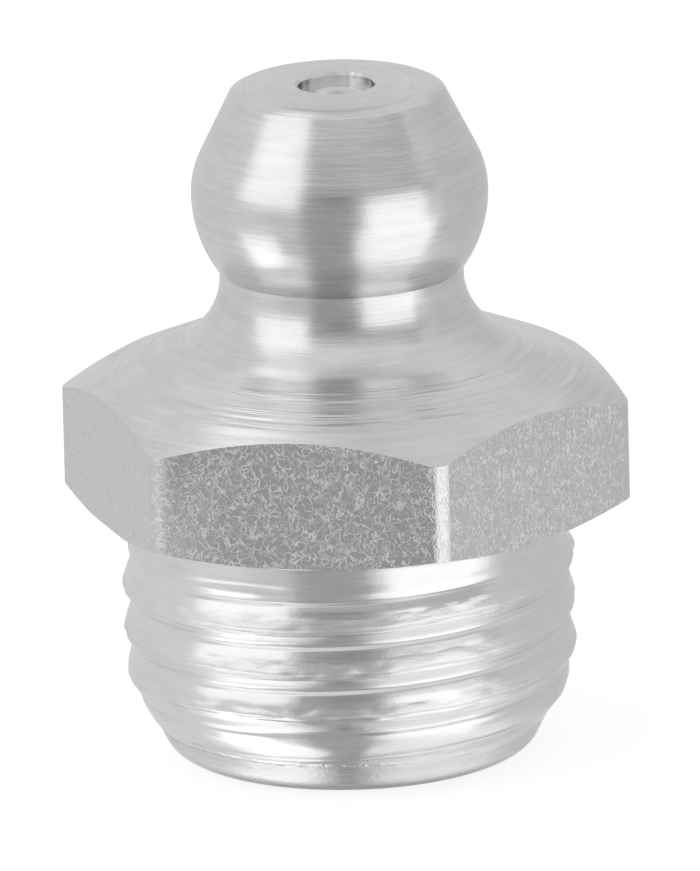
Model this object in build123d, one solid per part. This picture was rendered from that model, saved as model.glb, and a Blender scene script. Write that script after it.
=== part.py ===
from build123d import *
from math import acos, cos, degrees, pi, radians, sin, sqrt, tan
import os

# Straight hydraulic grease nipple, M10 x 1, with a spring-loaded ball valve.
# Lengths are in millimetres and angles in degrees. The axis is +Z, the origin is
# the centre of the shank's end face, and two of the six flats face +Y and -Y.

# ---- driving dimensions: shank ----
SHANK_LENGTH = 5.6              # end face to the seating face under the hexagon
THREAD_DIAMETER = 9.91          # M10 x 1, major diameter within its tolerance
THREAD_STEP = 0.235             # thread crest over the plain stretch, radial
BLANK_LENGTH = 0.6              # plain stretch under the hexagon, as before threading
RUNOUT_ANGLE = 66.5             # cone that the fading crests lie on, from the radial plane
SEAT_CLEARANCE = 0.02           # thread crest to the inner edge of the seating face, radial
LEAD_IN_ANGLE = 31.0            # cone between pilot and thread, from the axis
PILOT_DIAMETER = 8.52           # widest place of the tapered end below the thread
PILOT_LENGTH = 0.8
PILOT_TAPER = 25.0              # side of that end, from the axis
PILOT_EDGE_RADIUS = 0.6
END_FACE_DIAMETER = 6.0
END_CONE_ANGLE = 6.0            # from the radial plane

# ---- driving dimensions: hexagon and shoulder ----
HEX_ACROSS_FLATS = 11.0
HEX_EDGE_RADIUS = 0.45          # edges of the drawn bar
SEAT_RING_STEP = 0.1            # chamfer under the hexagon starts outside the flats, radial
UNDER_CHAMFER_ANGLE = 20.0      # from the radial plane
SHOULDER_HEIGHT = 2.91          # seating face to the shoulder ring
SHOULDER_STEP = 0.15            # ring between chamfer and turned cone, inside the flats, radial
TOP_CHAMFER_ANGLE = 30.0        # from the radial plane
SHOULDER_CONE_ANGLE = 22.5      # from the radial plane

# ---- driving dimensions: neck and coupling head ----
NECK_DIAMETER = 5.32
NECK_FLARE_RADIUS = 1.55
HEAD_DIAMETER = 6.47
HEAD_CENTRE_HEIGHT = 6.99       # seating face to the widest part of the head
HEAD_HEIGHT = 9.4               # seating face to the top face
CATCH_RADIUS = 2.84             # arc from the widest part down to the neck
CROWN_RADIUS = 2.0              # arc between the widest part and the entry cone
ENTRY_CONE_ANGLE = 26.4         # cone that guides the coupler, from the axis
RIM_RADIUS = 0.3                # edge of the top face

# ---- driving dimensions: valve ----
INLET_DIAMETER = 1.7
INLET_CHAMFER = 0.06
BALL_DIAMETER = 2.5
BALL_RECESS = 0.1               # top of the ball below the top face
BALL_PASSAGE = 0.25             # way for the grease between ball and bore, radial
SEAT_ANGLE = 45.0               # conical seat, from the axis
LIP_REACH = 0.45                # lip that is rolled in under the spring, from the bore's wall
LIP_THICKNESS = 0.7
LIP_FLARE = 0.5                 # flare of the lip's opening at the end face, radial
LIP_FLARE_DEPTH = 0.45
SPRING_WIRE = 0.3
WIRE_SIDES = 6                  # the round wire's section is this polygon
SPRING_CLEARANCE = 0.2          # spring to bore, radial
SPRING_ACTIVE_TURNS = 8.0
SPRING_END_TURNS = 1.0          # closed turns at each end
SPRING_END_GAP = 0.04           # between neighbouring closed turns
CONTACT_CLEARANCE = 0.02        # ball to seat, ball to spring, spring to lip

# ---- places that follow from them ----
top_z = SHANK_LENGTH + HEAD_HEIGHT
ball_radius = BALL_DIAMETER / 2
ball_z = top_z - BALL_RECESS - ball_radius
bore_radius = ball_radius + BALL_PASSAGE
coil_radius = bore_radius - SPRING_CLEARANCE - SPRING_WIRE / 2
coil_bottom = LIP_THICKNESS + CONTACT_CLEARANCE + SPRING_WIRE / 2
ball_to_wire = ball_radius + SPRING_WIRE / 2 + CONTACT_CLEARANCE
coil_top = ball_z - sqrt(ball_to_wire**2 - coil_radius**2)


def at(radius, height):
    """Point of the half section."""
    return Vector(radius, 0, height)


def rise(run, angle):
    """Height that a cone gains over a radial run, its angle from the radial plane."""
    return run * tan(radians(angle))


def arc(centre, radius, start, end):
    """Arc of the half section, its angles counted from the radial plane upwards."""
    def on_arc(angle):
        return centre + at(radius * cos(radians(angle)), radius * sin(radians(angle)))

    return ThreePointArc(on_arc(start), on_arc((start + end) / 2), on_arc(end))


def head_outline():
    """Inlet edge, top face, entry cone, crown and catch, down to the neck."""
    head_radius = HEAD_DIAMETER / 2
    centre_z = SHANK_LENGTH + HEAD_CENTRE_HEIGHT
    crown_centre = at(head_radius - CROWN_RADIUS, centre_z)
    crown = arc(crown_centre, CROWN_RADIUS, ENTRY_CONE_ANGLE, 0)
    entry = crown @ 0
    rim = at(entry.X - (top_z - entry.Z) * tan(radians(ENTRY_CONE_ANGLE)), top_z)
    inlet_edge = at(INLET_DIAMETER / 2 + INLET_CHAMFER, top_z)
    undercut = head_radius - NECK_DIAMETER / 2
    neck_angle = -degrees(acos(1 - undercut / CATCH_RADIUS))
    catch = arc(at(head_radius - CATCH_RADIUS, centre_z), CATCH_RADIUS, 0, neck_angle)
    face = FilletPolyline(inlet_edge, rim, entry, radius=[RIM_RADIUS])
    return [face, crown, catch]


def shoulder_corners(neck_top):
    """Neck, turned cone and chamfered round of the hexagon, as (corner, radius)."""
    flat_radius = HEX_ACROSS_FLATS / 2
    hex_radius = flat_radius / cos(pi / 6)
    ring_radius = flat_radius - SHOULDER_STEP
    neck_radius = NECK_DIAMETER / 2
    seat_radius = flat_radius + SEAT_RING_STEP
    ring_z = SHANK_LENGTH + SHOULDER_HEIGHT
    neck_z = ring_z + rise(ring_radius - neck_radius, SHOULDER_CONE_ANGLE)
    longest_flare = (neck_top - neck_z) / tan(radians(90 - SHOULDER_CONE_ANGLE) / 2)
    hex_top = ring_z - rise(hex_radius - ring_radius, TOP_CHAMFER_ANGLE)
    hex_bottom = SHANK_LENGTH + rise(hex_radius - seat_radius, UNDER_CHAMFER_ANGLE)
    return [
        (at(neck_radius, neck_z), min(NECK_FLARE_RADIUS, 0.95 * longest_flare)),
        (at(ring_radius, ring_z), 0),
        (at(hex_radius, hex_top), 0),
        (at(hex_radius, hex_bottom), 0),
        (at(seat_radius, SHANK_LENGTH), 0),
    ]


def shank_corners():
    """Plain stretch, thread cylinder, lead-in, tapered pilot and end, as (corner, radius)."""
    thread_radius = THREAD_DIAMETER / 2
    blank_radius = thread_radius - THREAD_STEP
    pilot_radius = PILOT_DIAMETER / 2
    end_radius = END_FACE_DIAMETER / 2
    blank_z = SHANK_LENGTH - BLANK_LENGTH
    seat_corner = THREAD_STEP + SEAT_CLEARANCE
    lead_in = (thread_radius - pilot_radius) / tan(radians(LEAD_IN_ANGLE))
    taper, slope = tan(radians(PILOT_TAPER)), tan(radians(END_CONE_ANGLE))
    edge_z = (pilot_radius - PILOT_LENGTH * taper - end_radius) * slope / (1 - taper * slope)
    edge_radius = pilot_radius - (PILOT_LENGTH - edge_z) * taper
    edge_turn = radians(90 - PILOT_TAPER - END_CONE_ANGLE)
    longest_edge = (edge_radius - end_radius) / tan(edge_turn / 2)
    return [
        (at(blank_radius + seat_corner, SHANK_LENGTH), 0),
        (at(blank_radius, SHANK_LENGTH - seat_corner), 0),
        (at(blank_radius, blank_z), 0),
        (at(thread_radius, blank_z - rise(THREAD_STEP, RUNOUT_ANGLE)), 0),
        (at(thread_radius, PILOT_LENGTH + lead_in), 0),
        (at(pilot_radius, PILOT_LENGTH), 0),
        (at(edge_radius, edge_z), min(PILOT_EDGE_RADIUS, 0.95 * longest_edge)),
        (at(end_radius, 0), 0),
    ]


def bore_corners():
    """Rolled lip, spring chamber, conical seat and inlet, as (corner, radius)."""
    lip_radius = bore_radius - LIP_REACH
    inlet_radius = INLET_DIAMETER / 2
    slope = tan(radians(SEAT_ANGLE))
    apex_z = ball_z + (ball_radius + CONTACT_CLEARANCE) / sin(radians(SEAT_ANGLE))
    return [
        (at(lip_radius + LIP_FLARE, 0), 0),
        (at(lip_radius, LIP_FLARE_DEPTH), 0),
        (at(lip_radius, LIP_THICKNESS), 0),
        (at(bore_radius, LIP_THICKNESS), 0),
        (at(bore_radius, apex_z - bore_radius / slope), 0),
        (at(inlet_radius, apex_z - inlet_radius / slope), 0),
        (at(inlet_radius, top_z - INLET_CHAMFER), 0),
    ]


def nipple_body():
    """Body turned from hexagon bar: the half section, revolved and cut to six flats."""
    head = head_outline()
    neck_top = (head[-1] @ 1).Z
    corners = [*shoulder_corners(neck_top), *shank_corners(), *bore_corners()]
    below_head = FilletPolyline(
        head[-1] @ 1,
        *[corner for corner, _ in corners],
        head[0] @ 0,
        radius=[radius for _, radius in corners],
    )
    turned = revolve(make_face(Wire([*head[0].edges(), *head[1:], *below_head.edges()])), Axis.Z)
    flats = RegularPolygon(HEX_ACROSS_FLATS / 2, 6, major_radius=False)
    bar = extrude(fillet(flats.vertices(), HEX_EDGE_RADIUS), top_z)
    return turned & bar


def check_ball():
    """Ball that closes the inlet from below."""
    return Pos(0, 0, ball_z) * Sphere(ball_radius)


def valve_spring():
    """Compression spring with closed ends, from the lip up to the ball."""
    closed_pitch = SPRING_WIRE + SPRING_END_GAP
    closed_height = closed_pitch * SPRING_END_TURNS
    active_height = coil_top - coil_bottom - 2 * closed_height
    sections = [
        (closed_pitch, closed_height),
        (active_height / SPRING_ACTIVE_TURNS, active_height),
        (closed_pitch, closed_height),
    ]
    turns = 0
    height = coil_bottom
    coils = []
    for pitch, length in sections:
        coil = Helix(pitch, length, coil_radius)
        coils.append(Pos(0, 0, height) * Rot(0, 0, 360 * turns) * coil)
        turns += length / pitch
        height += length
    path = Wire(coils)
    section = Plane(origin=path @ 0, z_dir=path % 0) * RegularPolygon(SPRING_WIRE / 2, WIRE_SIDES)
    return sweep(section, path, is_frenet=True)


parts = {"body": nipple_body(), "ball": check_ball(), "spring": valve_spring()}
os.makedirs("parts", exist_ok=True)
for name, shape in parts.items():
    export_step(shape, f"parts/{name}.step")
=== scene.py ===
from math import acos, ceil, cos, degrees, pi, radians, sin, tan

import bmesh
import bpy
from bpy.props import FloatProperty, FloatVectorProperty, IntProperty, PointerProperty
from mathutils import Matrix, Vector, noise


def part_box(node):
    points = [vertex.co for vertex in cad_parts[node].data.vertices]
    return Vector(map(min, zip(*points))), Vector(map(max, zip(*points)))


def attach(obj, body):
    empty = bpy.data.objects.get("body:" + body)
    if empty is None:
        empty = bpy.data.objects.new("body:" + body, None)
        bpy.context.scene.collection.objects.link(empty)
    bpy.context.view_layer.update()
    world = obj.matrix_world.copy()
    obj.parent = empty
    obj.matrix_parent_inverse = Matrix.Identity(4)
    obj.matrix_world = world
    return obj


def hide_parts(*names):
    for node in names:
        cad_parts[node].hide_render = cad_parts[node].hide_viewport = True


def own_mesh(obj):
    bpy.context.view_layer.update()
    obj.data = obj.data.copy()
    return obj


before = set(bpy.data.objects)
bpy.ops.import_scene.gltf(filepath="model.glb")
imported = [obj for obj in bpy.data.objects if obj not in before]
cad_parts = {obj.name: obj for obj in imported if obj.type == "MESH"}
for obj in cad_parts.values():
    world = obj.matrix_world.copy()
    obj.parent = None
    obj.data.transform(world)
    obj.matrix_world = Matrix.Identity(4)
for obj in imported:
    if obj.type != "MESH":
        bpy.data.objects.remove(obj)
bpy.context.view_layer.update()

bl_info = {
    "name": "Grease Nipple",
    "version": (1, 0, 0),
    "blender": (4, 5, 0),
    "location": "3D View > Sidebar > Nipple",
    "description": "A hydraulic grease nipple with a rolled thread and a ball valve",
    "category": "Add Mesh",
}

MM = 0.001
MERGE = 1e-3 * MM       # vertices nearer than this become one
ON_PLANE = 1e-6 * MM    # vertices nearer than this to a cut lie on it
THREAD_CUT = 0.1 * MM   # the thread is cut off this far above the end of its run-out
SEAM_ABOVE = 0.04 * MM  # from that cut to the plain stretch, bridged at the end
SEAM_BELOW = 0.03 * MM  # from the thread to the tapered end, bridged at the end
BODY_LOW, BODY_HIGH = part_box("body")


# ---------------------------------------------------------------- sizes


def length(label, about, millimetres):
    """A size in metres, its default given in millimetres."""
    return FloatProperty(
        name=label, description=about, default=millimetres * MM,
        min=0.0, subtype="DISTANCE", unit="LENGTH", precision=5,
    )


def angle(label, about, in_degrees):
    """An angle in radians, its default given in degrees."""
    return FloatProperty(
        name=label, description=about, default=radians(in_degrees),
        subtype="ANGLE", unit="ROTATION",
    )


def shade(label, about, value):
    """A neutral colour."""
    return FloatVectorProperty(
        name=label, description=about, default=(value, value, value, 1.0),
        size=4, min=0.0, max=1.0, subtype="COLOR",
    )


class ThreadSizes(bpy.types.PropertyGroup):
    pitch: length("Pitch", "Rise of the thread in one turn", 1.0)
    major: length("Crest radius", "Radius over the thread's crests", 4.955)
    core: length("Core radius", "Radius of the plain stretch and under the roots", 4.72)
    clearance: length("Seat clearance", "Crests to the inner edge of the seating face", 0.02)
    front_crest: length("Front crest height", "Height of the crest that faces the front", 4.12)
    front: angle("Front direction", "Direction of that crest, round the axis", -78.7)
    fade_low: length("Run-out start", "Height where the thread starts to fade", 4.42)
    fade_high: length("Run-out end", "Height where the thread has faded", 5.02)


class TurnedSizes(bpy.types.PropertyGroup):
    columns: IntProperty(name="Columns", description="Steps round the axis", default=192, min=48)
    seat_height: length("Seat height", "Seating face under the hexagon", 5.6)
    pilot_radius: length("Pilot radius", "Top of the tapered end below the thread", 4.26)
    pilot_height: length("Pilot height", "Top of the tapered end", 0.8)
    pilot_taper: angle("Pilot taper", "Side of the end, from the axis", 25.0)
    end_radius: length("End face radius", "Flat end of the shank", 3.0)
    pilot_edge: length("Pilot edge radius", "Rounding between its side and the end face", 0.6)
    hex_edge: length("Hexagon edge radius", "Rounding of the drawn bar's edges", 0.55)
    seat_step: length("Seat step", "Flats to the outer edge of the seating face", 0.1)
    under_chamfer: angle("Under chamfer", "Chamfer below the hexagon, from level", 20.0)
    top_chamfer: angle("Top chamfer", "Chamfer above the hexagon, from level", 30.0)
    shoulder_cone: angle("Shoulder cone", "Turned cone up to the neck, from level", 22.5)
    ring_radius: length("Shoulder ring radius", "Edge between chamfer and turned cone", 5.35)
    ring_height: length("Shoulder ring height", "Edge between chamfer and turned cone", 8.51)
    neck_radius: length("Neck radius", "Thinnest place under the head", 2.66)
    flare_radius: length("Neck flare radius", "Curve between neck and cone", 1.58)
    head_radius: length("Head radius", "Widest place of the head", 3.235)
    head_height: length("Head height", "Height of its widest place", 12.59)
    crown_radius: length("Crown radius", "Curve from the widest place up to the entry cone", 2.0)
    entry_angle: angle("Entry cone", "Side of the head's top, from the axis", 26.4)
    under_radius: length("Under-head radius", "Curve from the widest place down to the neck", 2.84)
    inlet_radius: length("Inlet radius", "Hole in the top face", 0.85)
    inlet_edge: length("Inlet edge", "Small chamfer round that hole", 0.06)
    bore_radius: length("Bore radius", "Chamber of the spring", 1.5)
    lip_radius: length("Lip radius", "Opening in the rolled-in lip", 1.05)
    lip_top: length("Lip top", "Side of the lip that the spring stands on", 0.7)
    lip_flare: length("Lip flare", "Widening of that opening at the end face", 0.5)
    lip_flare_top: length("Lip flare top", "Height where the flare ends", 0.45)
    ball_clearance: length("Ball clearance", "Closed ball to its seat", 0.02)


class SpringSizes(bpy.types.PropertyGroup):
    wire: length("Wire radius", "Half the thickness of the round wire", 0.15)
    coil: length("Coil radius", "Axis to the middle of the wire", 1.15)
    rest: length("Rest height", "Foot of the spring on the rolled-in lip", 0.72)
    top: length("Top height", "Middle of the wire under the ball", 12.817)
    closed_pitch: length("Closed pitch", "Rise of the closed turn at each end", 0.34)
    turns: IntProperty(
        name="Active turns", description="Open turns between them", default=8, min=1,
    )


class FinishColours(bpy.types.PropertyGroup):
    turned: shade("Turned zinc", "Zinc over the turned surfaces, darker marks", 0.73)
    turned_light: shade("Turned zinc, light", "Lighter marks between them", 0.83)
    # painted highlight: a lighter colour that makes the rolled thread's reflections come out
    # brighter
    rolled: shade("Rolled thread, painted highlight", "Lighter colour painted on the rolled thread as a highlight", 0.96)
    drawn: shade("Drawn zinc", "Zinc on the flats of the drawn bar", 0.73)
    drawn_light: shade("Drawn zinc, light", "Pits in those flats", 0.84)
    ball: shade("Ball steel", "Polished check ball", 0.78)
    wire: shade("Spring wire", "Spring wire, darker scale", 0.52)
    wire_light: shade("Spring wire, light", "Lighter scale", 0.66)


# ---------------------------------------------------------------- shader nodes


class Socket:
    """An output of a node tree that takes part in arithmetic, adding Math nodes."""

    def __init__(self, paint, output):
        self.paint, self.output = paint, output

    def maths(self, operation, *values):
        return self.paint.add("ShaderNodeMath", {"operation": operation}, dict(enumerate(values)))

    def __add__(self, other):
        return self.maths("ADD", self, other)

    def __radd__(self, other):
        return self.maths("ADD", other, self)

    def __sub__(self, other):
        return self.maths("SUBTRACT", self, other)

    def __rsub__(self, other):
        return self.maths("SUBTRACT", other, self)

    def __mul__(self, other):
        return self.maths("MULTIPLY", self, other)

    def __rmul__(self, other):
        return self.maths("MULTIPLY", other, self)

    def __pow__(self, other):
        return self.maths("POWER", self, other)

    def __abs__(self):
        return self.maths("ABSOLUTE", self)


class Paint:
    """Builds one node tree."""

    def __init__(self, tree):
        self.tree = tree
        tree.nodes.clear()

    def node(self, kind, settings=None, inputs=None):
        made = self.tree.nodes.new(kind)
        for name, value in (settings or {}).items():
            setattr(made, name, value)
        for name, value in (inputs or {}).items():
            if isinstance(value, Socket):
                self.tree.links.new(value.output, made.inputs[name])
            else:
                made.inputs[name].default_value = value
        return made

    def add(self, kind, settings=None, inputs=None, output=0):
        return Socket(self, self.node(kind, settings, inputs).outputs[output])

    def step(self, value, low, high):
        """0 below low and 1 above high, smooth between."""
        return self.add(
            "ShaderNodeMapRange", {"interpolation_type": "SMOOTHSTEP"},
            {"Value": value, "From Min": low, "From Max": high},
        )

    def between(self, value, low, high, soft):
        """1 from low to high, with edges that are soft wide."""
        half = soft / 2
        risen = self.step(value, low - half, low + half)
        return risen * (1 - self.step(value, high - half, high + half))

    def noise(self, vector, scale, detail=2.0, roughness=0.5, distortion=0.0):
        return self.add(
            "ShaderNodeTexNoise", {"noise_dimensions": "3D"},
            {"Vector": vector, "Scale": scale, "Detail": detail, "Roughness": roughness,
             "Distortion": distortion},
        )

    def vector(self, x, y, z):
        return self.add("ShaderNodeCombineXYZ", None, {0: x, 1: y, 2: z})

    def millimetres(self):
        """Place on the object in millimetres, as x, y, z and distance from the axis."""
        place = self.add("ShaderNodeTexCoord", output="Object")
        split = self.node("ShaderNodeSeparateXYZ", None, {0: place})
        x, y, z = (Socket(self, split.outputs[i]) * (1 / MM) for i in range(3))
        return x, y, z, (x * x + y * y) ** 0.5

    def bump(self, height):
        """Normals of a surface with this relief in millimetres."""
        return self.add(
            "ShaderNodeBump", None, {"Strength": 1.0, "Distance": MM, "Height": height},
            output="Normal",
        )

    def mix(self, factor, first, second):
        """Blend of two colours."""
        made = self.node("ShaderNodeMix", {"data_type": "RGBA"}, {"Factor": factor})
        for index, value in ((6, first), (7, second)):
            if isinstance(value, Socket):
                self.tree.links.new(value.output, made.inputs[index])
            else:
                made.inputs[index].default_value = value
        return Socket(self, made.outputs[2])


def grey(value):
    return (value, value, value, 1.0)


def metal(name, base, build, anisotropic=0.0):
    """A metal whose build function returns the sockets that vary over it."""
    material = bpy.data.materials.new(name)
    material.use_nodes = True
    paint = Paint(material.node_tree)
    inputs = {
        "Base Color": base, "Metallic": 1.0,
        "Anisotropic": anisotropic, "Anisotropic Rotation": 0.25,
    }
    inputs.update(build(paint))
    surface = paint.add("ShaderNodeBsdfPrincipled", None, inputs)
    paint.node("ShaderNodeOutputMaterial", None, {"Surface": surface})
    return material


def turned_zinc(paint):
    """Turning streaks round the axis under shiny zinc, smoother on the rolled thread, whose colour
    is painted lighter there as a painted highlight.
    """
    x, y, z, radius = paint.millimetres()
    along = z - radius * 0.6
    streaks = paint.noise(paint.vector(x * 0.45, y * 0.45, along * 6.0), 1.0, 3.0, 0.6)
    rings = paint.noise(paint.vector(x * 0.9, y * 0.9, along * 24.0), 1.0, 2.0, 0.6)
    grain = paint.noise(paint.vector(x, y, z), 5.0, 3.0, 0.6)
    clouds = paint.noise(paint.vector(x, y, z * 1.6), 1.1, 3.0, 0.6)
    rolled = 1 - paint.step(z, 5.2, 5.5)
    crest = paint.step(radius, 4.87, 4.90) * (1 - paint.step(z, 4.95, 5.1))
    lumps = paint.noise(paint.vector(x * 2.6, y * 2.6, z * 9.0), 1.0, 3.0, 0.7)
    burr = paint.between(z, 0.77, 0.84, 0.06)
    dots = paint.step(paint.noise(paint.vector(x, y, z * 0.6), 4.0, 2.0, 0.6), 0.35, 0.65)
    shoulder = paint.between(radius, 3.75, 5.3, 0.3) * paint.step(z, 8.3, 8.5)
    arcs = paint.noise(paint.vector(x * 0.14, y * 0.14, radius * 3.0), 1.0, 3.0, 0.55)
    turning = 1 - rolled * 0.75
    pilot = 1 - paint.step(z, 0.65, 0.85)
    height = (
        streaks * turning * 0.006 + rings * turning * 0.0016 + grain * (0.002 + pilot * 0.006)
        + rolled * clouds * 0.006 + crest * lumps * 0.013 + burr * dots * 0.008
        + shoulder * (
            paint.step(radius, 4.08, 4.13) * 0.008 + paint.step(arcs, 0.46, 0.60) * 0.014
        )
    )
    mark = rings * 0.35 + streaks * 0.35 + clouds * 0.3
    colours = bpy.context.scene.nipple_colours
    tone = paint.mix(paint.step(mark, 0.36, 0.64), colours.turned, colours.turned_light)
    # painted highlight: the rolled thread, but not the tapered end, is mixed towards a lighter
    # colour so that its reflections come out brighter
    tone_with_painted_highlight = paint.mix((rolled - pilot) * 0.35, tone, colours.rolled)
    rough = 0.18 - 0.02 * rolled + 0.12 * rings + 0.12 * crest + 0.05 * pilot
    return {"Base Color": tone_with_painted_highlight, "Roughness": rough, "Normal": paint.bump(height)}


def drawn_zinc(paint):
    """Flats of the drawn bar: zinc over a surface full of small worm-like pits."""
    x, y, z, _ = paint.millimetres()
    place = paint.vector(x, y, z)
    worms = paint.noise(place, 6.2, 1.0, 0.5, 0.8)
    pits = paint.noise(place, 10.0, 1.0, 0.5)
    sparse = paint.step(paint.noise(place, 4.0, 2.0, 0.6), 0.42, 0.62)
    grain = paint.noise(place, 14.0, 2.0, 0.6)
    worm = paint.step(abs(worms - 0.5) * -1.0, -0.08, 0.01) * (0.4 + 0.6 * sparse)
    pit = paint.step(pits, 0.60, 0.78)
    marks = worm.maths("MAXIMUM", worm, pit)
    height = marks * -0.0045 + grain * 0.0025
    colours = bpy.context.scene.nipple_colours
    return {
        "Base Color": paint.mix(marks, colours.drawn, colours.drawn_light),
        "Roughness": 0.18 + 0.42 * marks,
        "Normal": paint.bump(height),
    }


def polished_ball(paint):
    """Bearing steel under a thin film of grease."""
    x, y, z, _ = paint.millimetres()
    film = paint.noise(paint.vector(x, y, z), 3.0, 3.0, 0.6)
    return {"Roughness": 0.16 + 0.2 * film}


def drawn_wire(paint):
    """Spring wire with patches of scale."""
    x, y, z, _ = paint.millimetres()
    scale = paint.noise(paint.vector(x * 2.0, y * 2.0, z * 6.0), 2.0, 3.0, 0.6)
    colours = bpy.context.scene.nipple_colours
    tone = paint.mix(paint.step(scale, 0.35, 0.65), colours.wire, colours.wire_light)
    return {"Base Color": tone, "Roughness": 0.28 + 0.2 * scale}


# ---------------------------------------------------------------- mesh work


def chain(bm, points):
    """Vertices at (radius, height), joined in a row by edges."""
    made = [bm.verts.new((radius, 0.0, height)) for radius, height in points]
    for first, second in zip(made, made[1:]):
        bm.edges.new((first, second))
    return made


def round_corner(bm, vert, radius, segments=5):
    """Turns a corner of a chain into an arc of that radius."""
    before, after = (edge.other_vert(vert).co - vert.co for edge in vert.link_edges)
    reach = radius / tan(before.angle(after) / 2)
    bmesh.ops.bevel(
        bm, geom=[vert], offset=reach, offset_type="OFFSET", segments=segments,
        profile=0.5, affect="VERTICES", material=-1,
    )


def revolve(bm, columns):
    """Spins everything in the mesh once round the axis."""
    bmesh.ops.spin(
        bm, geom=bm.verts[:] + bm.edges[:], cent=(0, 0, 0), axis=(0, 0, 1),
        angle=2 * pi, steps=columns, use_merge=True,
    )


def turned_bmesh(corners, columns):
    """A surface of revolution from corners (radius, height, rounding, arc segments)."""
    bm = bmesh.new()
    verts = chain(bm, [(r, z) for r, z, *_ in corners])
    for vert, corner in zip(verts, corners):
        if len(corner) > 2:
            round_corner(bm, vert, *corner[2:])
    revolve(bm, columns)
    return bm


def arc_points(centre, radius, start, end, steps):
    """Points (radius, height) on an arc of the half section."""
    turn = (end - start) / steps
    return [
        (centre[0] + radius * cos(start + turn * i), centre[1] + radius * sin(start + turn * i))
        for i in range(steps + 1)
    ]


def join(bm, other):
    """Copies another bmesh into bm and frees it."""
    mesh = bpy.data.meshes.new("join")
    other.to_mesh(mesh)
    other.free()
    bm.from_mesh(mesh)
    bpy.data.meshes.remove(mesh)


def finished(bm, name, materials, sharp=radians(32)):
    """Merges, orients and shades the mesh, and returns its object."""
    bmesh.ops.remove_doubles(bm, verts=bm.verts, dist=MERGE)
    bmesh.ops.recalc_face_normals(bm, faces=bm.faces)
    for face in bm.faces:
        face.smooth = True
    for edge in bm.edges:
        edge.smooth = len(edge.link_faces) == 2 and edge.calc_face_angle() < sharp
    mesh = bpy.data.meshes.new(name)
    bm.to_mesh(mesh)
    bm.free()
    for material in materials:
        mesh.materials.append(material)
    made = bpy.data.objects.new(name, mesh)
    bpy.context.scene.collection.objects.link(made)
    return made


# ---------------------------------------------------------------- the body


def thread_bmesh(size, turned):
    """Rolled thread: one pitch of its section spun up a screw, faded out and trimmed."""
    bm = bmesh.new()
    full_ridge = size.major - size.core
    verts = chain(bm, [
        (size.core + share * full_ridge, height * size.pitch) for height, share, _ in SECTION
    ])
    for vert, (_, _, rounding) in zip(verts, SECTION):
        if rounding:
            round_corner(bm, vert, rounding * size.pitch, 3)
    plain = [e for e in bm.edges if e.calc_length() > 0.1 * size.pitch]
    bmesh.ops.subdivide_edges(bm, edges=plain, cuts=3)

    # the section lies at angle 0, so its crest starts where the helix crosses that angle
    start = size.front_crest - size.pitch * size.front / (2 * pi)
    start -= ceil((start - turned.pilot_height) / size.pitch + 1.5) * size.pitch
    bmesh.ops.translate(bm, verts=bm.verts, vec=(0, 0, start))
    bmesh.ops.spin(
        bm, geom=bm.verts[:] + bm.edges[:], cent=(0, 0, 0), axis=(0, 0, 1),
        angle=2 * pi, steps=turned.columns, dvec=(0, 0, size.pitch / turned.columns),
    )
    turn = bm.verts[:] + bm.edges[:] + bm.faces[:]
    turns = ceil((size.fade_high + 2 * THREAD_CUT - start) / size.pitch + 1)
    for count in range(1, turns):
        copy = bmesh.ops.duplicate(bm, geom=turn)["geom"]
        bmesh.ops.translate(
            bm, verts=[v for v in copy if isinstance(v, bmesh.types.BMVert)],
            vec=(0, 0, count * size.pitch),
        )
    bmesh.ops.remove_doubles(bm, verts=bm.verts, dist=MERGE)

    # lead-in at the bottom, run-out into the plain stretch at the top, uneven crests between
    for vert in bm.verts:
        radius, height = vert.co.xy.length, vert.co.z
        ridge = radius - size.core
        base, share = lead_in(height - turned.pilot_height)
        fade = min(max((height - size.fade_low) / (size.fade_high - size.fade_low), 0), 1)
        share *= 1 - fade * fade * (3 - 2 * fade)
        crest = min(max(ridge / full_ridge - 0.6, 0) * 4, 1)
        place = Vector((vert.co.x, vert.co.y, vert.co.z * 2))
        core = turned.pilot_radius + (size.core - turned.pilot_radius) * base
        vert.co.xy *= (core + ridge * share * (1 + crest * worn(place))) / radius
        vert.co.z += crest * noise.noise(place * 900 + Vector((9, 0, 0))) * 0.03 * MM

    for height, normal in ((turned.pilot_height, -1), (size.fade_high + THREAD_CUT, 1)):
        bmesh.ops.bisect_plane(
            bm, geom=bm.verts[:] + bm.edges[:] + bm.faces[:], dist=ON_PLANE,
            plane_co=(0, 0, height), plane_no=(0, 0, normal), clear_outer=True,
        )
    return bm


def worn(place):
    """Share of the ridge's height that a crest has lost at a place, as 0 or less."""
    broad = (noise.noise(place * 1300) - 0.25) * 0.16
    fine = (noise.noise(place * 3000) - 0.2) * 0.12
    return min(broad + fine, 0)


# section of one pitch: height over its crest in pitches, share of the crest's height, rounding
# in pitches; from one smooth upper flank over the root to the crest's two lips and the next
SECTION = (
    (-0.76, 0.67, 0.0), (-0.54, 0.34, 0.08), (-0.465, 0.05, 0.05), (-0.38, 0.14, 0.08),
    (-0.19, 0.66, 0.04), (-0.15, 0.82, 0.02), (-0.12, 0.84, 0.012), (-0.085, 0.78, 0.012),
    (-0.04, 0.96, 0.02), (0.0, 1.0, 0.05), (0.24, 0.67, 0.0),
)
# rise above the tapered end in mm, share of the step up to the core, share of the ridge
LEAD_IN = (
    (0.0, 0.03, 0.10), (0.2, 0.29, 0.20), (0.5, 0.62, 0.45), (0.8, 0.87, 0.65),
    (1.15, 1.0, 0.80), (1.7, 1.0, 1.0),
)


def lead_in(above):
    """How far the core and the ridge have grown at a height above the tapered end."""
    rise = above / MM
    if rise <= 0:
        return LEAD_IN[0][1:]
    for (low, core0, ridge0), (high, core1, ridge1) in zip(LEAD_IN, LEAD_IN[1:]):
        if rise < high:
            part = (rise - low) / (high - low)
            return core0 + (core1 - core0) * part, ridge0 + (ridge1 - ridge0) * part
    return 1.0, 1.0


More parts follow.
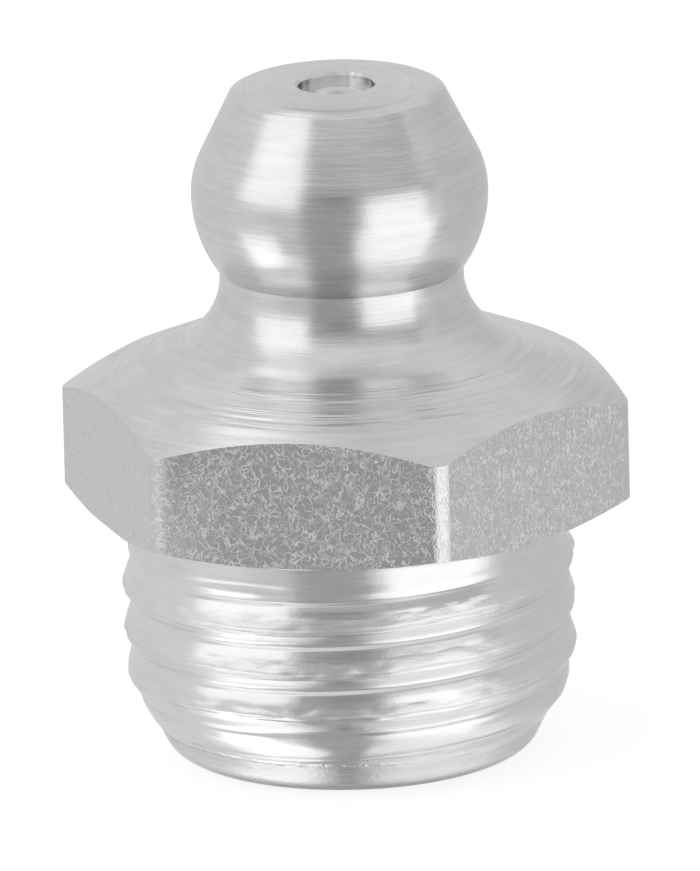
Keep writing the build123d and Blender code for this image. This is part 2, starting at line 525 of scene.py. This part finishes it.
def hexagon_bmesh(turned, across, seat_inner):
    """A turned blank with both chamfers, cut by the flats and their rounded edges."""
    corner = across / 2 / cos(pi / 6)
    ring = turned.ring_radius
    seat = across / 2 + turned.seat_step
    top_slope, under_slope = tan(turned.top_chamfer), tan(turned.under_chamfer)
    bm = turned_bmesh(
        [
            (seat_inner, turned.seat_height),
            (seat, turned.seat_height),
            (corner, turned.seat_height + (corner - seat) * under_slope),
            (corner, turned.ring_height - (corner - ring) * top_slope),
            (ring, turned.ring_height),
        ],
        turned.columns,
    )
    centre = (across / 2 - turned.hex_edge) / cos(pi / 6)
    one_side = radians(60)
    facets = 6
    for side in range(6):
        for facet in range(facets):
            turn = one_side * facet / facets
            direction = Vector((0, -1, 0))
            direction.rotate(Matrix.Rotation(one_side * side + turn, 3, "Z"))
            reach = centre * cos(turn - pi / 6) + turned.hex_edge
            cut = bmesh.ops.bisect_plane(
                bm, geom=bm.verts[:] + bm.edges[:] + bm.faces[:], dist=ON_PLANE,
                plane_co=direction * reach, plane_no=direction, clear_outer=True,
            )
            rim = [e for e in cut["geom_cut"] if isinstance(e, bmesh.types.BMEdge)]
            filled = bmesh.ops.contextual_create(bm, geom=rim)["faces"]
            for face in filled:
                face.material_index = 1
            if facet == 0:
                bmesh.ops.inset_region(
                    bm, faces=filled, thickness=0.01 * MM, use_even_offset=True,
                )
    return bm


def body_bmesh(thread, turned):
    """Outside and inside of the turned body in one closed surface."""
    top = BODY_HIGH.z
    across = BODY_HIGH.y - BODY_LOW.y
    seat_inner = thread.major + thread.clearance
    corner = seat_inner - thread.core
    bm = thread_bmesh(thread, turned)
    join(bm, hexagon_bmesh(turned, across, seat_inner))

    # plain stretch under the hexagon
    join(bm, turned_bmesh(
        [
            (thread.core, thread.fade_high + THREAD_CUT + SEAM_ABOVE),
            (thread.core, turned.seat_height - corner),
            (seat_inner, turned.seat_height),
        ],
        turned.columns,
    ))

    # shoulder cone, neck and head, then the inside and the tapered end
    cone_run = turned.ring_radius - turned.neck_radius
    neck_foot = turned.ring_height + cone_run * tan(turned.shoulder_cone)
    under = turned.head_radius - turned.under_radius
    crown = turned.head_radius - turned.crown_radius
    neck_turn = -acos((turned.neck_radius - under) / turned.under_radius)
    ball = arc_points((under, turned.head_height), turned.under_radius, neck_turn, 0, 16)
    arc = arc_points((crown, turned.head_height), turned.crown_radius, 0, turned.entry_angle, 12)
    rim_height = top - 0.14 * MM
    rim_radius = arc[-1][0] - (rim_height - arc[-1][1]) * tan(turned.entry_angle)
    pilot_low = 0.10 * MM
    pilot_run = (turned.pilot_height - pilot_low) * tan(turned.pilot_taper)
    join(bm, turned_bmesh(
        [
            (turned.ring_radius, turned.ring_height),
            (turned.neck_radius, neck_foot, turned.flare_radius, 16),
            *ball,
            *arc[1:],
            (rim_radius, rim_height, 0.12 * MM, 4),     # rim, rounded in two steps
            (rim_radius - 0.2 * MM, top - 0.04 * MM, 0.3 * MM, 3),
            (rim_radius - 0.5 * MM, top),
            (turned.inlet_radius + turned.inlet_edge, top),
            (turned.inlet_radius, top - turned.inlet_edge),
            *seat_and_bore(turned),
            (turned.end_radius, 0.0),
            (turned.pilot_radius - pilot_run, pilot_low, turned.pilot_edge, 8),
            (turned.pilot_radius, turned.pilot_height - SEAM_BELOW),
        ],
        turned.columns,
    ))
    bridge_open_rings(bm)

    # burrs round the inlet
    for vert in bm.verts:
        radius = vert.co.xy.length
        if vert.co.z > top - 0.1 * MM and radius < turned.inlet_radius + 0.2 * MM:
            place = Vector((vert.co.x, vert.co.y, 0))
            vert.co.xy *= 1 + noise.noise(place * 1500) * 0.07 + noise.noise(place * 5000) * 0.03
    return bm


def seat_and_bore(turned):
    """Conical seat, bore and rolled-in lip, from the inlet down to the end face."""
    bore, lip = turned.bore_radius, turned.lip_radius
    ball_radius, ball_height = ball_place()
    apex = ball_height + (ball_radius + turned.ball_clearance) * 2 ** 0.5
    return [
        (turned.inlet_radius, apex - turned.inlet_radius),
        (bore, apex - bore),
        (bore, turned.lip_top),
        (lip, turned.lip_top),
        (lip, turned.lip_flare_top),
        (lip + turned.lip_flare, 0.0),
    ]


def ball_place():
    """Radius of the check ball and height of its middle."""
    low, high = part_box("ball")
    return (high.z - low.z) / 2, (high.z + low.z) / 2


def spring_bmesh(size):
    """Round wire wound upwards, with one closed turn at each end."""
    bm = bmesh.new()
    section = bmesh.ops.create_circle(bm, segments=16, radius=size.wire)["verts"]
    bmesh.ops.rotate(bm, verts=section, matrix=Matrix.Rotation(radians(90), 3, "X"))
    foot = size.rest + size.wire
    bmesh.ops.translate(bm, verts=section, vec=(size.coil, 0, foot))
    active = size.top - foot - 2 * size.closed_pitch
    end = bm.verts[:] + bm.edges[:]
    rims = [[e for e in end if isinstance(e, bmesh.types.BMEdge)]]
    for turns, height in ((1, size.closed_pitch), (size.turns, active), (1, size.closed_pitch)):
        steps = turns * 48
        end = bmesh.ops.spin(
            bm, geom=end, cent=(0, 0, 0), axis=(0, 0, 1), angle=2 * pi * turns,
            steps=steps, dvec=(0, 0, height / steps),
        )["geom_last"]
    rims.append([e for e in end if isinstance(e, bmesh.types.BMEdge)])
    for rim in rims:
        bmesh.ops.contextual_create(bm, geom=rim)
    return bm


def bridge_open_rings(bm):
    """Joins the open rings above and below the thread to their neighbours."""
    bmesh.ops.remove_doubles(bm, verts=bm.verts, dist=MERGE)
    rings = {}
    for edge in bm.edges:
        if edge.is_boundary:
            rings.setdefault(round(edge.verts[0].co.z / MM), []).append(edge)
    for ring in rings.values():
        bmesh.ops.bridge_loops(bm, edges=ring)


# ---------------------------------------------------------------- operators


class NIPPLE_OT_body(bpy.types.Operator):
    """Turned body with hexagon, rolled thread, coupling head and valve seat"""

    bl_idname = "nipple.body"
    bl_label = "Body"

    def execute(self, context):
        scene = context.scene
        colours = scene.nipple_colours
        bm = body_bmesh(scene.nipple_thread, scene.nipple_turned)
        made = finished(bm, "nipple_body", [
            metal("turned zinc", colours.turned, turned_zinc, anisotropic=0.35),
            metal("drawn zinc", colours.drawn, drawn_zinc),
        ])
        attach(made, "nipple")
        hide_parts("body")
        return {"FINISHED"}


class NIPPLE_OT_spring(bpy.types.Operator):
    """Valve spring, built in one fixed shape; the real one is pressed together as the ball goes
    down
    """

    bl_idname = "nipple.spring"
    bl_label = "Spring"

    def execute(self, context):
        size = context.scene.nipple_spring
        colour = context.scene.nipple_colours.wire
        made = finished(spring_bmesh(size), "wound_spring", [
            metal("spring wire", colour, drawn_wire),
        ])
        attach(made, "nipple")
        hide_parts("spring")
        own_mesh(made)
        return {"FINISHED"}


class NIPPLE_OT_ball(bpy.types.Operator):
    """Check ball that closes the inlet"""

    bl_idname = "nipple.ball"
    bl_label = "Ball"

    def execute(self, context):
        radius, height = ball_place()
        bm = bmesh.new()
        bmesh.ops.create_icosphere(bm, subdivisions=5, radius=radius)
        bmesh.ops.translate(bm, verts=bm.verts, vec=(0, 0, height))
        colour = context.scene.nipple_colours.ball
        made = finished(bm, "check_ball", [metal("ball steel", colour, polished_ball)])
        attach(made, "valve")
        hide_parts("ball")
        return {"FINISHED"}


class NIPPLE_OT_stage(bpy.types.Operator):
    """Floor, surroundings and camera"""

    bl_idname = "nipple.stage"
    bl_label = "Stage"

    def execute(self, context):
        floor()
        surroundings()
        camera()
        return {"FINISHED"}


CAMERA_SIDE = radians(11.3)     # camera right of the front flat
CAMERA_RISE = radians(16.0)
CAMERA_LEAN = radians(1.4)      # axis leans left in the view
FRONT = Vector((sin(CAMERA_SIDE), -cos(CAMERA_SIDE), 0))
RIGHT = Vector((cos(CAMERA_SIDE), sin(CAMERA_SIDE), 0))
SHOWN_WIDTH = 15.25 * MM        # width of the view at the axis
DISTANCE = 0.55                 # camera to the point it looks at, in metres


def camera():
    """Camera a little right of the front flat and above it."""
    towards = FRONT * cos(CAMERA_RISE) + Vector((0, 0, sin(CAMERA_RISE)))
    level_up = towards.cross(RIGHT)
    right = RIGHT * cos(CAMERA_LEAN) - level_up * sin(CAMERA_LEAN)
    up = towards.cross(right)
    aim = Vector((0, 0, 7.43 * MM)) + right * 0.1057 * MM - up * 0.375 * MM
    data = bpy.data.cameras.new("camera")
    data.sensor_fit = "HORIZONTAL"
    data.sensor_width = 36.0
    data.lens = data.sensor_width * DISTANCE / SHOWN_WIDTH
    data.clip_start, data.clip_end = 0.05, 20.0
    made = bpy.data.objects.new("camera", data)
    rotation = Matrix((right, up, towards)).transposed()
    made.matrix_world = Matrix.Translation(aim + towards * DISTANCE) @ rotation.to_4x4()
    bpy.context.scene.collection.objects.link(made)
    bpy.context.scene.camera = made


def floor():
    """Pale floor that shows only the object's shadow and isn't mirrored in the metal."""
    bm = bmesh.new()
    bmesh.ops.create_circle(bm, cap_ends=True, segments=96, radius=1.5)
    made = finished(bm, "floor", [])
    material = bpy.data.materials.new("pale floor")
    material.use_nodes = True
    paint = Paint(material.node_tree)
    diffuse = paint.add("ShaderNodeBsdfDiffuse", None, {"Color": grey(0.6)})
    glow = paint.add("ShaderNodeEmission", None, {"Color": grey(1.0), "Strength": 0.64})
    lit = paint.add("ShaderNodeAddShader", None, {0: diffuse, 1: glow})
    clear = paint.add("ShaderNodeBsdfTransparent")
    under = paint.add("ShaderNodeNewGeometry", output="Backfacing")
    surface = paint.add("ShaderNodeMixShader", None, {0: under, 1: lit, 2: clear})
    paint.node("ShaderNodeOutputMaterial", None, {"Surface": surface})
    made.data.materials.append(material)
    made.visible_glossy = False


# softboxes and cards round the object: turn to the right of the camera and rise above
# level, each from and to in degrees, how soft their edges are, and what they add to or
# take from the plain room
CARDS = (
    (-87, -34, 5, 53, 8, 0.70),        # left softbox
    (-88, -53, -50, -25, 8, 0.98),     # its lamp seen low down
    (-112, -40, -76, -44, 8, 0.85),
    (20, 70, -17, 20, 5, 0.72),        # right softbox
    (11, 79, -44, -17, 6, 0.74),
    (24, 122, -76, -42, 6, 0.34),
    (66, 82, -24, -10, 5, 0.30),       # its stand
    (-150, 50, -95, -79, 6, -0.42),
    (-30, 15, -88, 24, 9, -0.47),      # dark room behind the camera
    (-12, 6, 12, 28, 10, -0.10),
    (-58, -32, -40, 14, 14, -0.14),
    (-30, 76, 20.5, 42, 4, -0.34),
    (54, 84, 12, 24, 6, -0.30),
    (-35, 35, 48, 74, 8, 0.10),        # ceiling in front
    (45, 78, 38, 66, 8, 0.14),
    (-20, 120, 76, 95, 10, -0.22),
    (-145, -104, 57, 78, 7, 0.85),     # ceiling light
    (-100, -60, 57, 76, 7, 0.42),
    (-168, -152, 36, 66, 8, 0.18),
    (158, 170, 36, 66, 6, 0.10),
    (85, 165, -35, 30, 14, -0.16),     # right wall
    (-165, -95, -30, 2, 14, -0.04),    # left wall
)
ROOM = 0.69                            # brightness of the plain room


def surroundings():
    """Plain room with softboxes and dark cards, which the metal mirrors."""
    world = bpy.data.worlds.new("studio")
    bpy.context.scene.world = world
    world.use_nodes = True
    world.cycles.sampling_method = "NONE"
    paint = Paint(world.node_tree)
    direction = paint.add("ShaderNodeTexCoord", output="Generated")
    split = paint.node("ShaderNodeSeparateXYZ", None, {0: direction})
    x, y, z = (Socket(paint, split.outputs[i]) for i in range(3))
    ahead = x * FRONT.x + y * FRONT.y
    aside = x * RIGHT.x + y * RIGHT.y
    turn = aside.maths("ARCTAN2", aside, ahead) * degrees(1)
    rise = z.maths("ARCSINE", z) * degrees(1)
    # darker straight behind the object, on the ground and high up on the wall; both reach
    # across the turn of 180 degrees, so they aren't cards
    ground = paint.step(abs(turn), 145, 158) * (1 - paint.step(rise, -42, -34))
    wall = paint.step(abs(turn), 165, 169) * paint.between(rise, 38, 66, 8)
    light = 1.0 - ground * 0.50 - wall * 0.38
    for turn0, turn1, rise0, rise1, soft, change in CARDS:
        light = light + change * (
            paint.between(turn, turn0, turn1, soft) * paint.between(rise, rise0, rise1, soft)
        )
    # the camera itself sees plain white
    seen = paint.add("ShaderNodeLightPath", output="Is Camera Ray")
    room = light * ROOM
    strength = room + seen * (1 - room)
    surface = paint.add("ShaderNodeBackground", None, {"Color": grey(1.0), "Strength": strength})
    paint.node("ShaderNodeOutputWorld", None, {"Surface": surface})


class NIPPLE_PT_panel(bpy.types.Panel):
    """Sizes and pieces of the grease nipple"""

    bl_idname = "NIPPLE_PT_panel"
    bl_label = "Grease Nipple"
    bl_space_type = "VIEW_3D"
    bl_region_type = "UI"
    bl_category = "Nipple"

    def draw(self, context):
        scene = context.scene
        for group in (
            scene.nipple_thread, scene.nipple_turned, scene.nipple_spring, scene.nipple_colours,
        ):
            for name in group.__annotations__:
                self.layout.prop(group, name)
        for operator in PIECES:
            self.layout.operator(operator.bl_idname)


PIECES = (NIPPLE_OT_body, NIPPLE_OT_spring, NIPPLE_OT_ball, NIPPLE_OT_stage)
CLASSES = (
    ThreadSizes, TurnedSizes, SpringSizes, FinishColours, *PIECES, NIPPLE_PT_panel,
)


def register():
    for item in CLASSES:
        bpy.utils.register_class(item)
    bpy.types.Scene.nipple_thread = PointerProperty(type=ThreadSizes)
    bpy.types.Scene.nipple_turned = PointerProperty(type=TurnedSizes)
    bpy.types.Scene.nipple_spring = PointerProperty(type=SpringSizes)
    bpy.types.Scene.nipple_colours = PointerProperty(type=FinishColours)


def unregister():
    del bpy.types.Scene.nipple_colours
    del bpy.types.Scene.nipple_spring
    del bpy.types.Scene.nipple_turned
    del bpy.types.Scene.nipple_thread
    for item in reversed(CLASSES):
        bpy.utils.unregister_class(item)


def main():
    register()
    bpy.context.scene.view_settings.view_transform = "Standard"
    bpy.ops.nipple.body()
    bpy.ops.nipple.spring()
    bpy.ops.nipple.ball()
    bpy.ops.nipple.stage()


if __name__ == "__main__":
    main()
